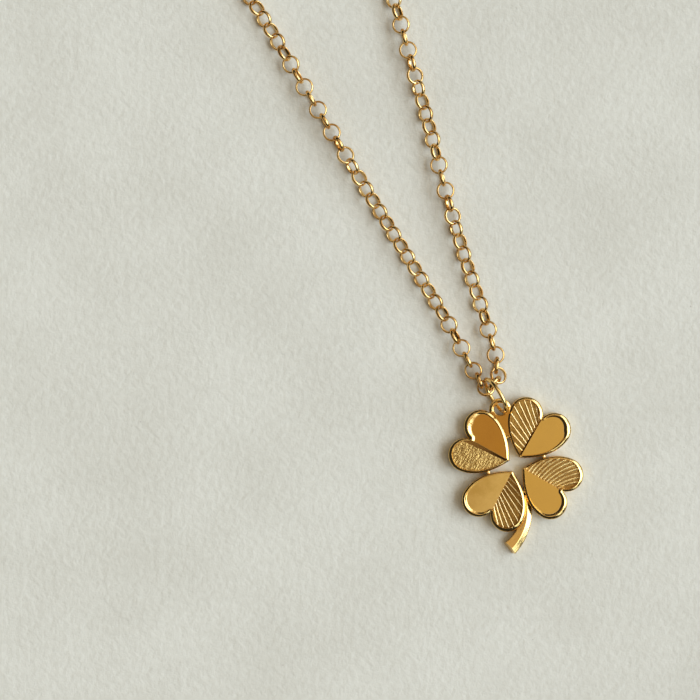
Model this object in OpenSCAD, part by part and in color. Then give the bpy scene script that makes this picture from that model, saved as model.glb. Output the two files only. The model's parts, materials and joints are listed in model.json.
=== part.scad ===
// Four leaf clover pendant on its belcher chain, lying flat on a table.
// Millimetres, +Z up. The origin is the middle of the necklace's box, on the table.

/* [Clover] */
// Turn of the clover on the table, anticlockwise
clover_turn = 16; // [-90:1:90]
// Distance from the clover's centre to a leaf's point
leaf_tip = 0.95; // [0.9:0.05:1.2]
// Distance out from the clover's centre to the centres of a leaf's lobes
lobe_out = 6.1; // [6:0.05:6.4]
// Distance of a lobe's centre from the leaf's mid line
lobe_side = 2; // [1.9:0.05:2.05]
// Radius of a lobe
lobe_r = 2.1; // [2.05:0.05:2.2]
// Angle between a leaf's mid line and its edge at the point
flank_angle = 63; // [58:1:65]
// Height of a leaf's raised rim above the table
rim_h = 1.5; // [1.4:0.05:2]
// Width of the raised rim round a smooth half, at the side of its lobe
rim_w = 0.5; // [0.4:0.02:0.6]
// Extra width of that rim at the leaf's far end
rim_far = 0.2; // [0.1:0.05:0.3]
// Width of the raised rim round a ribbed half
rib_rim_w = 0.24; // [0.2:0.02:0.5]
// Height of the smooth half's face above the table
face_h = 1.28; // [1.1:0.02:1.35]
// Height of the ribbed half's floor at the crease
floor_crease_h = 0.95; // [0.8:0.02:1.05]
// Height of the ribbed half's floor at the rim
floor_rim_h = 1.22; // [1.1:0.02:1.35]
// Thickness of a raised rib
rib_d = 0.26; // [0.2:0.02:0.4]
// Distance of the beads that join neighbouring leaves from the clover's centre
joint_out = 3.6; // [3.5:0.05:3.9]
// How far a bead runs into the leaf on each side of it
joint_grip = 0.09; // [0.05:0.01:0.15]

/* [Eye] */
// Distance of the eye's hole from the clover's centre
eye_out = 7.15; // [7:0.05:7.4]
// Diameter of the eye's hole
eye_hole_d = 1.5; // [1.4:0.05:1.7]
// Width of the band round the hole
eye_band = 0.62; // [0.5:0.02:0.8]
// Thickness of the eye and of the web behind it
eye_t = 0.35; // [0.25:0.05:0.4]
// Height of the web's underside above the table
eye_lift = 0.97; // [0.95:0.01:1.05]

/* [Stem] */
// Radius of the stem's bend
stem_bend_r = 6.5; // [6:0.1:8]
// Angle through which the stem bends
stem_arc = 65; // [50:1:70]
// Distance from the clover's centre to the stem's root
stem_root = 4.05; // [3.9:0.05:4.2]
// Width of the stem at its root
stem_root_w = 0.9; // [0.7:0.05:1.1]
// Width of the stem at its cut end
stem_end_w = 1.95; // [1.6:0.05:2.2]
// Height of the ridge along the stem at its root
stem_root_h = 0.95; // [0.7:0.05:1.2]
// Height of the ridge along the stem at its cut end
stem_end_h = 1.35; // [1:0.05:1.8]

/* [Jump ring] */
// Outer diameter of the jump ring
ring_d = 5.1; // [4.8:0.1:5.6]
// Thickness of the jump ring's wire
ring_wire = 0.5; // [0.4:0.02:0.52]
// Lean of the standing ring from the vertical
ring_lean = 12; // [4:1:16]
// Direction of the ring across the eye, from the clover's mid line
ring_skew = 14; // [0:1:20]

/* [Chain] */
// Outer diameter of a link
link_d = 2.3; // [2.1:0.05:2.4]
// Thickness of a link's band, measured across its hole
link_t = 0.25; // [0.22:0.01:0.28]
// Width of a link's band, measured along its hole
link_w = 0.45; // [0.4:0.01:0.5]
// Clearance between one link and the next, pulled straight
link_gap = 0.14; // [0.12:0.005:0.2]

/* [Clasp] */
// Distance between the holes of the clasp's end eyes
clasp_span = 9; // [8:0.5:12]
// Length of the clasp's barrel
barrel_l = 5.4; // [4:0.2:5.6]
// Diameter of the clasp's barrel
barrel_d = 2.4; // [2.3:0.1:3]
// Thickness of the wire of the clasp's end eyes
clasp_wire = 0.36; // [0.3:0.02:0.4]

/* [Hidden] */
$fn = 96;
gold = "#c69a4a";

// Small overlap by which joined pieces of one casting run into each other
bite = 0.05;

// The leaves, anticlockwise from the upper right one: turn of the mid line from an even quarter,
// angles of the first and of the last rib from the mid line, and number of ribs
leaf_rows = [
    // turn, first angle, last angle, ribs
    [-0.7, 76, 38, 10],
    [0.3, 95, 58, 14],
    [1, 74, 37, 10],
    [-0.9, 80, 48, 12]
];
leaf_count = len(leaf_rows);
leaf_step = 360 / leaf_count;
function leaf_turn(i) = leaf_step * (i + 0.5) + leaf_rows[i][0];

// Heart outline of a leaf, in the leaf's own frame: X runs out along its mid line, Y across it.
// A half outline runs from the point along the flank, round the lobe and into the notch.
flank_pull_tip = 1.38 * lobe_r;
flank_pull_lobe = 0.88 * lobe_r;
flank_end = 95;
flank_steps = 9;
lobe_steps = 14;
notch_steps = 3;
notch_out = lobe_out + sqrt(pow(lobe_r, 2) - pow(lobe_side, 2));
notch_angle = -atan2(lobe_side, notch_out - lobe_out);
lobe_centre = [lobe_out, lobe_side];
flank_a = [leaf_tip, 0];
flank_b = flank_a + flank_pull_tip * [cos(flank_angle), sin(flank_angle)];
flank_d = lobe_centre + lobe_r * [cos(flank_end), sin(flank_end)];
flank_c = flank_d - flank_pull_lobe * [sin(flank_end), -cos(flank_end)];

function flank(t) = pow(1 - t, 3) * flank_a + 3 * t * pow(1 - t, 2) * flank_b
    + 3 * t * t * (1 - t) * flank_c + pow(t, 3) * flank_d;
function flank_way(t) = 3 * pow(1 - t, 2) * (flank_b - flank_a) + 6 * t * (1 - t) * (flank_c - flank_b)
    + 3 * t * t * (flank_d - flank_c);
function right_of(way) = [way[1], -way[0]] / norm(way);
function flank_inset(t, inset) = flank(t) + inset * right_of(flank_way(t));

// Where the flank, set in by the inset, crosses the mid line
function point_inset(inset) = leaf_tip + inset / sin(flank_angle);

function half_outline(inset) = concat(
    [[point_inset(inset), 0]],
    [for (i = [1 : flank_steps - 1]) let (p = flank_inset(i / flank_steps, inset)) if (p[1] > bite) p],
    [for (i = [0 : lobe_steps]) let (a = flank_end + (notch_angle - flank_end) * i / lobe_steps)
        lobe_centre + (lobe_r - inset) * [cos(a), sin(a)]],
    inset > 0 ? [for (i = [1 : notch_steps]) let (a = 180 + notch_angle * (1 - i / notch_steps))
        [notch_out, 0] + inset * [cos(a), sin(a)]] : []
);

// Half of the least gap between two leaves whose mid lines are 2 * a apart
function half_gap(a) = min([for (p = half_outline(0)) p[0] * sin(a) - p[1] * cos(a)]);

// Beads between the leaves: direction from the clover's centre, and radius
beads = [for (i = [0 : leaf_count - 1]) let (
        from = leaf_turn(i), to = i + 1 < leaf_count ? leaf_turn(i + 1) : leaf_turn(0) + 360
    ) [(from + to) / 2, half_gap((to - from) / 2) + joint_grip]];

function spin(p, a) = [p[0] * cos(a) - p[1] * sin(a), p[0] * sin(a) + p[1] * cos(a)];

module leaf_half(inset, low, high) {
    translate([0, 0, low]) linear_extrude(high - low) polygon(half_outline(inset));
}

// Ribs fan out from the crease: each starts further out along it and leans further forward.
rib_first = leaf_tip + 0.9;
rib_last = notch_out - 0.3;
rib_l = lobe_side + 1.5 * lobe_r;
floor_slope = atan2(floor_rim_h - floor_crease_h, lobe_side + lobe_r - rib_rim_w);

// Space above the sloping floor of a ribbed half
module above_floor() {
    translate([0, 0, floor_crease_h]) rotate([floor_slope, 0, 0])
        translate([0, -lobe_r, 0]) cube([notch_out + lobe_r, 4 * lobe_r, 2 * rim_h]);
}

module rib(share, angle) {
    out = rib_first + (rib_last - rib_first) * share;
    translate([0, 0, floor_crease_h]) rotate([floor_slope, 0, 0]) translate([out, 0, 0])
        rotate([0, 0, angle]) rotate([0, 90, 0]) translate([0, 0, -rib_d])
            cylinder(d = rib_d, h = rib_l + rib_d, $fn = 24);
}

// A leaf has a smooth half, sunk flat inside its rim, and a ribbed half that slopes down to the crease.
module leaf(row) {
    ribs = row[3];
    difference() {
        union() {
            leaf_half(0, 0, rim_h);
            mirror([0, 1, 0]) leaf_half(0, 0, rim_h);
        }
        mirror([0, 1, 0]) translate([-rim_far, 0, 0]) leaf_half(rim_w, face_h, rim_h + 1);
        intersection() {
            leaf_half(rib_rim_w, floor_crease_h - bite, rim_h + 1);
            above_floor();
        }
    }
    intersection() {
        leaf_half(rib_rim_w / 2, floor_crease_h - rib_d, rim_h);
        union() for (k = [0 : ribs - 1]) let (share = k / (ribs - 1))
            rib(share, row[1] + (row[2] - row[1]) * share);
    }
}

// The web widens from the bead between the two upper leaves to the eye.
web_shoulder_out = 0.93 * lobe_out;
web_shoulder_half = 0.4 * lobe_r;
module web_outline() {
    root_half = beads[0][1];
    eye_half = eye_hole_d / 2 + eye_band;
    polygon([[-root_half, joint_out], [root_half, joint_out], [web_shoulder_half, web_shoulder_out],
        [eye_half, eye_out], [-eye_half, eye_out], [-web_shoulder_half, web_shoulder_out]]);
}

// The eye is a flat ring at the end of a web that fills the space between the two upper leaves.
module eye() {
    translate([0, 0, eye_lift]) difference() {
        union() {
            linear_extrude(eye_t) web_outline();
            translate([0, eye_out, 0]) cylinder(d = eye_hole_d + 2 * eye_band, h = eye_t);
        }
        translate([0, eye_out, -1]) cylinder(d = eye_hole_d, h = eye_t + 2);
    }
}

// Growth of the stem: share of its bend, and shares of the way from root to end in width and in height
stem_rows = [
    // bend, width, height
    [0, 0, 0],
    [0.2, 0.3, 0.2],
    [0.4, 0.5, 0.45],
    [0.6, 0.58, 0.7],
    [0.8, 0.78, 0.9],
    [1, 1, 1],
];
stem_widths = [for (row = stem_rows) [row[0], stem_root_w + (stem_end_w - stem_root_w) * row[1]]];
stem_heights = [for (row = stem_rows) [row[0], stem_root_h + (stem_end_h - stem_root_h) * row[2]]];
stem_steps = 15;
// Corners of a section, as shares of its half width and of its height
stem_corners = [[-0.85, 0], [0.85, 0], [1, 0.66], [0.1, 1], [-1, 0.58]];
// Distance that the cut end leans back at the ridge
stem_cut = 0.35;

function stem_ring(step) = let (
        share = step / stem_steps,
        a = stem_arc * share,
        middle_x = stem_bend_r * (cos(a) - 1), middle_y = -stem_root - stem_bend_r * sin(a),
        half_w = lookup(share, stem_widths) / 2, h = lookup(share, stem_heights),
        back = step < stem_steps ? 0 : stem_cut
    ) [for (c = stem_corners) [
        middle_x + c[0] * half_w * cos(a) + c[1] * back * sin(a),
        middle_y - c[0] * half_w * sin(a) + c[1] * back * cos(a),
        c[1] * h
    ]];

// The stem is a ridged bar that bends and widens to a cut end.
module stem() {
    rings = [for (step = [0 : stem_steps]) stem_ring(step)];
    sides = len(stem_corners);
    last = len(rings) - 1;
    polyhedron(
        points = [for (ring = rings) each ring],
        faces = concat(
            [[for (i = [0 : sides - 1]) i]],
            [[for (i = [sides - 1 : -1 : 0]) last * sides + i]],
            [for (k = [0 : last - 1], i = [0 : sides - 1])
                each [[k * sides + i, (k + 1) * sides + i, k * sides + (i + 1) % sides],
                    [k * sides + (i + 1) % sides, (k + 1) * sides + i, (k + 1) * sides + (i + 1) % sides]]]
        )
    );
}

module clover_upright() {
    for (i = [0 : leaf_count - 1]) rotate([0, 0, leaf_turn(i)]) leaf(leaf_rows[i]);
    for (bead = beads) rotate([0, 0, bead[0]])
        translate([joint_out, 0, bite]) cylinder(r = bead[1], h = floor_crease_h, $fn = 24);
    eye();
    stem();
}

// The jump ring stands in the eye: its wire passes down through the middle of the hole.
ring_r = (ring_d - ring_wire) / 2;
ring_z = ring_r * cos(ring_lean) + ring_wire / 2;
eye_mid_z = eye_lift + eye_t / 2;
ring_drop = (eye_mid_z - ring_z) / cos(ring_lean);
ring_reach = sqrt(pow(ring_r, 2) - pow(ring_drop, 2));
ring_heading = clover_turn - 90 + ring_skew;
ring_way = [cos(ring_heading), sin(ring_heading)];
eye_place = spin([0, eye_out], clover_turn);
ring_place = eye_place - ring_reach * ring_way - ring_drop * sin(ring_lean) * [-ring_way[1], ring_way[0]];

// Links: a round band whose section has round edges
link_r = (link_d - link_t) / 2;
link_half = (link_w - link_t) / 2;
link_pitch = link_r + sqrt(pow(link_r - link_t - link_gap, 2) - pow(link_half, 2));

// Height at which a link lies when its plane is rolled from flat
function rest_h(roll) = link_r * abs(sin(roll)) + link_half * abs(cos(roll)) + link_t / 2;
function lie_h(roll) = rest_h(45 + abs(((roll % 90) + 90) % 90 - 45));

// The slack links round the jump ring, from the left strand to the right one,
// placed from the ring's centre: X, Y, Z, heading, roll from flat
slack_left = [
    [-2.65, 3.05, 0.9, -53, 18],
    [-1.95, 1.8, 1.15, -71, 90]
];
slack_right = [
    [-1.1, 0.9, 1.15, -171, 28],
    [-0.05, 1.45, 1.45, 51, 73],
    [0.45, 2.45, 0.95, 122, 29],
    [0.2, 3.7, 1.15, 85, 90]
];

// Routes of the two strands from the ring's centre up to the clasp, in X and Y
right_route = [
    [0.1, 5], [-1.3, 9.8], [-3.8, 17.4], [-6.1, 25.3], [-8.1, 33.2], [-10, 40], [-12.4, 48.7], [-15.5, 59],
    [-19, 76], [-20.5, 96], [-20.5, 116], [-23, 135], [-31, 152], [-44.5, 162.3]
];
left_route = [
    [-3.4, 4.4], [-5.6, 8.6], [-8.2, 12.9], [-11.7, 18.6], [-15.2, 24.3], [-18.6, 29.9], [-22, 35.5],
    [-25.4, 41.2], [-29.5, 48], [-36, 57], [-50, 69.5], [-66, 82], [-80, 98], [-88.5, 117], [-88, 137],
    [-79.5, 153.5]
];
clasp_place = [-64, 162.6];
clasp_heading = 192;

// Twist of a strand from lying flat, in degrees, at shares of its length
right_twist = [
    [0, 0], [0.04, -45], [0.08, -45], [0.157, -135], [0.178, -135], [0.255, -225], [0.35, -225], [0.88, -45]
];
left_twist = [
    [0, 0], [0.042, -45], [0.13, -45], [0.155, -77], [0.21, -103], [0.24, -135], [0.35, -135], [0.88, -45]
];

route_steps = 10;
function unit(v) = v / norm(v);
function route_way(route, i) = unit(route[min(i + 1, len(route) - 1)] - route[max(i - 1, 0)]);
function route_point(route, i, t) = let (
        a = route[i], b = route[i + 1], l = norm(b - a),
        u = l * route_way(route, i), v = l * route_way(route, i + 1)
    ) (2 * pow(t, 3) - 3 * t * t + 1) * a + (pow(t, 3) - 2 * t * t + t) * u
    + (3 * t * t - 2 * pow(t, 3)) * b + (pow(t, 3) - t * t) * v;
function route_points(route) = concat(
    [for (i = [0 : len(route) - 2], k = [0 : route_steps - 1]) route_point(route, i, k / route_steps)],
    [route[len(route) - 1]]
);
// Rows of length so far, X and Y along a route
function step_after(points, i) = i + 1 < len(points) ? norm(points[i + 1] - points[i]) : 0;
function measured(points) = [for (i = 0, s = 0; i < len(points); s = s + step_after(points, i), i = i + 1)
    [s, points[i][0], points[i][1]]];
function at_length(rows, s) = [for (axis = [1, 2]) lookup(s, [for (r = rows) [r[0], r[axis]]])];

// Links of one strand as rows like those above; the clasp's eye lies flat, and the last link stands in it.
function strand_links(route, twist, first_roll) = let (
        rows = measured(route_points(route)),
        length = rows[len(rows) - 1][0],
        n = ceil(length / link_pitch),
        pitch = length / n,
        end_roll = (first_roll / 90 + n) % 2 == 0 ? 0 : 90,
        last_link = 1 - 1 / n,
        turns = concat(twist, [[last_link, end_roll], [1, end_roll]])
    ) [for (k = [0 : n - 1]) let (
            p = at_length(rows, k * pitch),
            q = at_length(rows, (k + 0.5) * pitch), o = at_length(rows, max(k - 0.5, 0) * pitch),
            roll = first_roll + 90 * k + lookup(k / n, turns)
        ) [p[0], p[1], lie_h(roll), atan2(q[1] - o[1], q[0] - o[0]), roll]];

clasp_way = [cos(clasp_heading), sin(clasp_heading)];
clasp_eyes = [for (side = [-1, 1]) clasp_place + side * clasp_span / 2 * clasp_way];
right_links = strand_links(concat(right_route, [clasp_eyes[0]]), right_twist, 0);
left_links = strand_links(concat(left_route, [clasp_eyes[1]]), left_twist, 90);
right_chain = concat(slack_right, right_links);
left_chain = concat(slack_left, left_links);
all_links = concat(right_chain, left_chain);
clasp_z = max(rest_h(90), barrel_d / 2);

// Box of everything in plan, from which the origin is set in its middle
clover_edge = concat(
    [for (i = [0 : leaf_count - 1], side = [-1, 1], p = half_outline(0))
        spin([p[0], side * p[1]], clover_turn + leaf_turn(i))],
    [for (step = [0 : stem_steps], p = stem_ring(step)) spin(p, clover_turn)]
);
function link_span(row, axis) = let (
        way = [cos(row[3]), sin(row[3])],
        pole = sin(row[4]) * [-way[1], way[0]][axis]
    ) link_r * sqrt(max(0, 1 - pow(pole, 2))) + link_half * abs(pole) + link_t / 2;
function low_edge(axis) = min(concat([for (p = clover_edge) p[axis]],
    [for (row = all_links) ring_place[axis] + row[axis] - link_span(row, axis)]));
function high_edge(axis) = max(concat([for (p = clover_edge) p[axis]],
    [for (row = all_links) ring_place[axis] + row[axis] + link_span(row, axis)]));
middle = [(low_edge(0) + high_edge(0)) / 2, (low_edge(1) + high_edge(1)) / 2, 0];

module link_section() {
    translate([link_r, 0]) {
        square([link_t, 2 * link_half], center = true);
        for (side = [-1, 1]) translate([0, side * link_half]) circle(d = link_t);
    }
}

module link(row) {
    translate([row[0], row[1], row[2]]) rotate([0, 0, row[3]]) rotate([row[4], 0, 0])
        rotate_extrude() link_section();
}

module clover() {
    color(gold) translate(-middle) rotate([0, 0, clover_turn]) clover_upright();
}

module jump_ring() {
    color(gold) translate(-middle) translate([ring_place[0], ring_place[1], ring_z])
        rotate([0, 0, ring_heading]) rotate([90 - ring_lean, 0, 0])
            rotate_extrude() translate([ring_r, 0]) circle(d = ring_wire);
}

module strand(rows) {
    color(gold) translate(-middle) translate([ring_place[0], ring_place[1], 0]) for (row = rows) link(row);
}

module chain_right() { strand(right_chain); }

module chain_left() { strand(left_chain); }

// The clasp is one plain barrel with a flat eye on a neck at each end.
clasp_eye_r = link_r - link_t / 2 + clasp_wire / 2;
neck_d = 1.6 * clasp_wire;
neck_l = clasp_span / 2 - clasp_eye_r - barrel_l / 2;
module clasp() {
    place = ring_place + clasp_place;
    color(gold) translate(-middle) translate([place[0], place[1], clasp_z])
        rotate([0, 0, clasp_heading]) {
            rotate([0, 90, 0]) cylinder(d = barrel_d, h = barrel_l, center = true);
            for (side = [-1, 1]) {
                translate([side * clasp_span / 2, 0, 0])
                    rotate_extrude() translate([clasp_eye_r, 0]) circle(d = clasp_wire);
                translate([side * (barrel_l + neck_l) / 2, 0, 0]) rotate([0, 90, 0])
                    cylinder(d = neck_d, h = neck_l + clasp_wire, center = true);
            }
        }
}

clover();
jump_ring();
chain_right();
chain_left();
clasp();
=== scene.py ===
# Four leaf clover pendant on its belcher chain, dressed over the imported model
import json
import logging
import math
from dataclasses import dataclass, field
from enum import Enum, IntEnum
from typing import Callable, Sequence

import bpy
import numpy as np
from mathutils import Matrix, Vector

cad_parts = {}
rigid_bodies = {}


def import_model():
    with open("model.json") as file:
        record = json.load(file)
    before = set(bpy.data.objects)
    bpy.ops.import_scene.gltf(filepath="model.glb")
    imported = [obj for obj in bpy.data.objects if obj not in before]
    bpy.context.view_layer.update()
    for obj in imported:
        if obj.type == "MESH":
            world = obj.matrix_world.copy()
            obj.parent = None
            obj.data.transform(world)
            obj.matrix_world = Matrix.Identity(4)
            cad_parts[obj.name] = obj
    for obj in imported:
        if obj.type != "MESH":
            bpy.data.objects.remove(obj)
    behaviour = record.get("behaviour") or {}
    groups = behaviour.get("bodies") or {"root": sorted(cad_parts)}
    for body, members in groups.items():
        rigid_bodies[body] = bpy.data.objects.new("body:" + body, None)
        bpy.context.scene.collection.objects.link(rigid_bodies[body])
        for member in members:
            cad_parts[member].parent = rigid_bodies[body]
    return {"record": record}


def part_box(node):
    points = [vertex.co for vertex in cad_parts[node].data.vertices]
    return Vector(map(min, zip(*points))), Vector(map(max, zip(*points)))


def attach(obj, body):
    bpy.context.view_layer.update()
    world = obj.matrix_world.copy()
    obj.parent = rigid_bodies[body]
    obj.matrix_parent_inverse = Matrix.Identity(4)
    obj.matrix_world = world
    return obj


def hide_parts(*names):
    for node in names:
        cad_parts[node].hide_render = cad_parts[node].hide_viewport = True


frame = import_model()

LOG = logging.getLogger("clover")
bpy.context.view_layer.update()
MM = 0.001
WELD_MM = 1e-5
NEAR_MM = 1e-6
TINY = 1e-9

Array = np.ndarray
Material = bpy.types.Material
Piece = bpy.types.Object
Pair = tuple[float, float]
Row = tuple[float, ...]
Colour = tuple[float, float, float]
Floor = Callable[[Array, Array], Array]


def ramp(start: float, end: float, count: int) -> Array:
    """Gives count evenly spaced numbers from start to end."""
    return np.linspace(start, end, count)


def circle(degrees: Array | float) -> Array:
    """Gives the points (cos a, sin a) for angles in degrees."""
    a = np.radians(degrees)
    return np.stack([np.cos(a), np.sin(a)], axis=-1)


def polygon(sides: int) -> Array:
    """Gives the corners of a regular polygon of radius one."""
    return circle(ramp(0, 360, sides + 1)[:-1])


def turned(points: Array, degrees: float) -> Array:
    """Turns points about the Z axis: x cos a - y sin a, x sin a + y cos a.

    Args:
        points: coordinates in the last axis, X and Y first.
        degrees: anticlockwise turn.

    Returns:
        The turned points, with any third coordinate unchanged.
    """
    a = math.radians(degrees)
    out = np.array(points, float)
    out[..., 0] = points[..., 0] * math.cos(a) - points[..., 1] * math.sin(a)
    out[..., 1] = points[..., 0] * math.sin(a) + points[..., 1] * math.cos(a)
    return out


def right(vectors: Array) -> Array:
    """Turns vectors in plan a quarter turn clockwise: (y, -x)."""
    return vectors[..., ::-1] * [1, -1]


def unit(vectors: Array) -> Array:
    """Divides each row by its length."""
    return vectors / np.linalg.norm(vectors, axis=1)[:, None]


def lift(plan: Array, height: Array | float) -> Array:
    """Adds a height to points in plan, as their third coordinate."""
    return np.concatenate([plan, np.broadcast_to(height, plan.shape[:-1])[..., None]], axis=-1)


def spun(radial: Array, height: Array, count: int) -> Array:
    """Turns a profile about the Z axis: (r cos a, r sin a, z) for count angles a.

    Args:
        radial: distance r of each point of the profile from the axis.
        height: height z of each point.
        count: number of angles.

    Returns:
        Rows of points, one for each angle.
    """
    return lift(polygon(count)[:, None] * radial[:, None], height)


def linked(name: str, data: bpy.types.ID) -> Piece:
    """Makes an object in the scene.

    Args:
        name: its name.
        data: its mesh, light or camera.

    Returns:
        The object.
    """
    made = bpy.data.objects.new(name, data)
    bpy.context.scene.collection.objects.link(made)
    return made


class Shell:
    """Closed surfaces in millimetres, gathered grid by grid and turned into one mesh."""

    def __init__(self) -> None:
        """Starts with no surface."""
        self.points: list[Array] = []
        self.quads: list[Array] = []
        self.slots: list[Array] = []
        self.grain: list[Array] = []
        self.count = 0

    def add(self, grid: Array, slot: int | Array = 0, ring: bool = False, grain: Array | None = None) -> None:
        """Adds a grid whose columns close round, and whose rows close round or end in poles.

        Where the rows don't close round, the mean of the first row and of the last row is a pole. The
        faces are turned over if the volume inside, a sixth of the sum of a . (b x c), is negative.

        Args:
            grid: rows, columns and coordinates.
            slot: material slot of the faces, one number or one for each face between the given rows.
            ring: whether the last row joins the first.
            grain: for each point, where it lies in a pattern that follows the surface.
        """
        if not ring:
            low, high = (np.broadcast_to(grid[k].mean(axis=0), grid[:1].shape) for k in (0, -1))
            grid = np.concatenate([low, grid, high])
            if grain is not None:
                grain = np.concatenate([grain[:1], grain, grain[-1:]])
            if isinstance(slot, np.ndarray):
                slot = np.concatenate([slot[:1], slot, slot[-1:]])
        rows, cols = grid.shape[:2]
        spans = rows if ring else rows - 1
        r, c = np.meshgrid(np.arange(spans), np.arange(cols), indexing="ij")
        down, across = (r + 1) % rows, (c + 1) % cols
        quads = np.stack([r * cols + c, r * cols + across, down * cols + across, down * cols + c], axis=-1)
        slots = np.broadcast_to(slot, (spans, cols)).ravel()
        flat = grid.reshape(-1, 3)
        grains = np.zeros_like(flat) if grain is None else grain.reshape(-1, 3)
        keep, first, same = self.welded(flat)
        quads = same[quads.reshape(-1, 4)]
        corners = keep[quads]
        a, b, c, d = (corners[:, k] for k in range(4))
        volume = (a * np.cross(b, c)).sum() + (a * np.cross(c, d)).sum()
        if volume < 0:
            quads = quads[:, ::-1]
        self.points.append(keep)
        self.grain.append(grains[first])
        self.quads.append(quads + self.count)
        self.slots.append(slots)
        self.count += len(keep)

    @staticmethod
    def welded(points: Array) -> tuple[Array, Array, Array]:
        """Merges points that share a place.

        Args:
            points: coordinates in millimetres.

        Returns:
            The points kept, the index of the first of each, and the kept index of each given point.
        """
        _, first, same = np.unique(np.round(points / WELD_MM), axis=0, return_index=True,
                                   return_inverse=True)
        return points[first], first, same.ravel()

    def build(self, name: str, materials: Sequence[Material], sharp: float = 40) -> Piece:
        """Makes the mesh object, with triangles at the poles.

        Args:
            name: name of the piece.
            materials: its material slots.
            sharp: angle in degrees past which an edge is shaded sharp.

        Returns:
            The object, at the origin, linked to the scene.
        """
        quads, slots = np.concatenate(self.quads), np.concatenate(self.slots)
        same = quads == np.roll(quads, -1, axis=1)
        whole = ~same.any(axis=1)
        pole = same.sum(axis=1) == 1
        shift = (np.argmax(same, axis=1)[:, None] + np.arange(1, 4)) % 4
        triangles = np.take_along_axis(quads, shift, axis=1)[pole]
        mesh = bpy.data.meshes.new(name)
        mesh.from_pydata(np.concatenate(self.points) * MM, [], quads[whole].tolist() + triangles.tolist())
        slots = np.concatenate([slots[whole], slots[pole]])
        mesh.polygons.foreach_set("material_index", slots.astype(np.int32))
        mesh.polygons.foreach_set("use_smooth", np.ones(len(mesh.polygons), bool))
        mesh.attributes.new("grain", "FLOAT_VECTOR", "POINT").data.foreach_set(
            "vector", np.concatenate(self.grain).astype(np.float32).ravel())
        mesh.update()
        mesh.set_sharp_from_angle(angle=math.radians(sharp))
        for material in materials:
            mesh.materials.append(material)
        return linked(name, mesh)


class Signal:
    """A shader value that adds Math nodes where Python's operators act on it."""

    def __init__(self, tree: "Tree", socket: bpy.types.NodeSocket) -> None:
        """Wraps a node's output socket."""
        self.tree, self.socket = tree, socket

    def math(self, operation: str, *values: "Signal | float") -> "Signal":
        """Adds a Math node of the given operation on the given values."""
        return self.tree.node("ShaderNodeMath", {"operation": operation}, dict(enumerate(values)))

    def __add__(self, other: "Signal | float") -> "Signal":
        """Sum."""
        return self.math("ADD", self, other)

    def __rsub__(self, other: float) -> "Signal":
        """Difference from a number."""
        return self.math("SUBTRACT", other, self)

    def __mul__(self, other: "Signal | float") -> "Signal":
        """Product."""
        return self.math("MULTIPLY", self, other)


class Tree:
    """The node tree of one material, with a Principled shader."""

    def __init__(self, name: str) -> None:
        """Makes an empty material with its shader and output.

        Args:
            name: name of the material.
        """
        self.material = bpy.data.materials.new(name)
        self.material.use_nodes = True
        self.nodes, self.links = self.material.node_tree.nodes, self.material.node_tree.links
        self.nodes.clear()
        self.shader = self.nodes.new("ShaderNodeBsdfPrincipled")
        output = self.nodes.new("ShaderNodeOutputMaterial")
        self.links.new(self.shader.outputs["BSDF"], output.inputs["Surface"])

    def node(self, kind: str, settings: dict, inputs: dict, output: int | str = 0) -> Signal:
        """Adds a node.

        Args:
            kind: type of the node.
            settings: its properties.
            inputs: values or signals of its sockets, by name or number.
            output: the socket given back.

        Returns:
            The node's output.
        """
        made = self.nodes.new(kind)
        for key, value in settings.items():
            setattr(made, key, value)
        for key, value in inputs.items():
            self.set(made.inputs[key], value)
        return Signal(self, made.outputs[output])

    def set(self, socket: bpy.types.NodeSocket, value: "Signal | float | Sequence[float]") -> None:
        """Links a signal to a socket, or sets the socket's own value.

        Args:
            socket: the input socket.
            value: what it gets.
        """
        if isinstance(value, Signal):
            self.links.new(value.socket, socket)
        else:
            socket.default_value = value

    def finish(self, **sockets: "Signal | float | Sequence[float]") -> Material:
        """Sets the shader's sockets.

        Args:
            sockets: their values, named with _ for a space.

        Returns:
            The material.
        """
        for key, value in sockets.items():
            self.set(self.shader.inputs[key.replace("_", " ")], value)
        return self.material

    def place(self) -> Signal:
        """Gives the point in the object's own coordinates."""
        return self.node("ShaderNodeTexCoord", {}, {}, "Object")

    def noise(self, vector: Signal, sizes: float | Sequence[float], detail: float, roughness: float,
              degrees: float = 0.0) -> Signal:
        """Adds a noise on coordinates that are turned about Z and divided by sizes.

        Args:
            vector: the coordinates.
            sizes: length of one unit of the noise, or its length along each axis.
            detail: number of finer noises added.
            roughness: share that each finer one keeps.
            degrees: direction that becomes the first axis.

        Returns:
            The noise.
        """
        turn = self.node("ShaderNodeVectorRotate", {"rotation_type": "Z_AXIS"},
                         {"Vector": vector, "Angle": -math.radians(degrees)})
        place = self.node("ShaderNodeVectorMath", {"operation": "DIVIDE"},
                          {0: turn, 1: np.broadcast_to(sizes, 3)})
        return self.node("ShaderNodeTexNoise", {},
                         {"Vector": place, "Scale": 1.0, "Detail": detail, "Roughness": roughness})

    def levels(self, value: Signal, low: float, high: float, to_low: float = 0.0,
               to_high: float = 1.0) -> Signal:
        """Maps a value from one range to another, held at both ends."""
        return self.node("ShaderNodeMapRange", {"clamp": True}, {
            "Value": value, "From Min": low, "From Max": high, "To Min": to_low, "To Max": to_high})

    def mix(self, share: "Signal | float", first: "Signal | Colour", second: "Signal | Colour") -> Signal:
        """Mixes two colours."""
        colours = [c if isinstance(c, Signal) else (*c, 1.0) for c in (first, second)]
        return self.node("ShaderNodeMix", {"data_type": "RGBA"}, {0: share, 6: colours[0], 7: colours[1]}, 2)

    def bump(self, height: Signal, depth: float) -> Signal:
        """Adds a bump of the given depth in metres."""
        return self.node("ShaderNodeBump", {}, {"Height": height, "Distance": depth, "Strength": 1.0})


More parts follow.
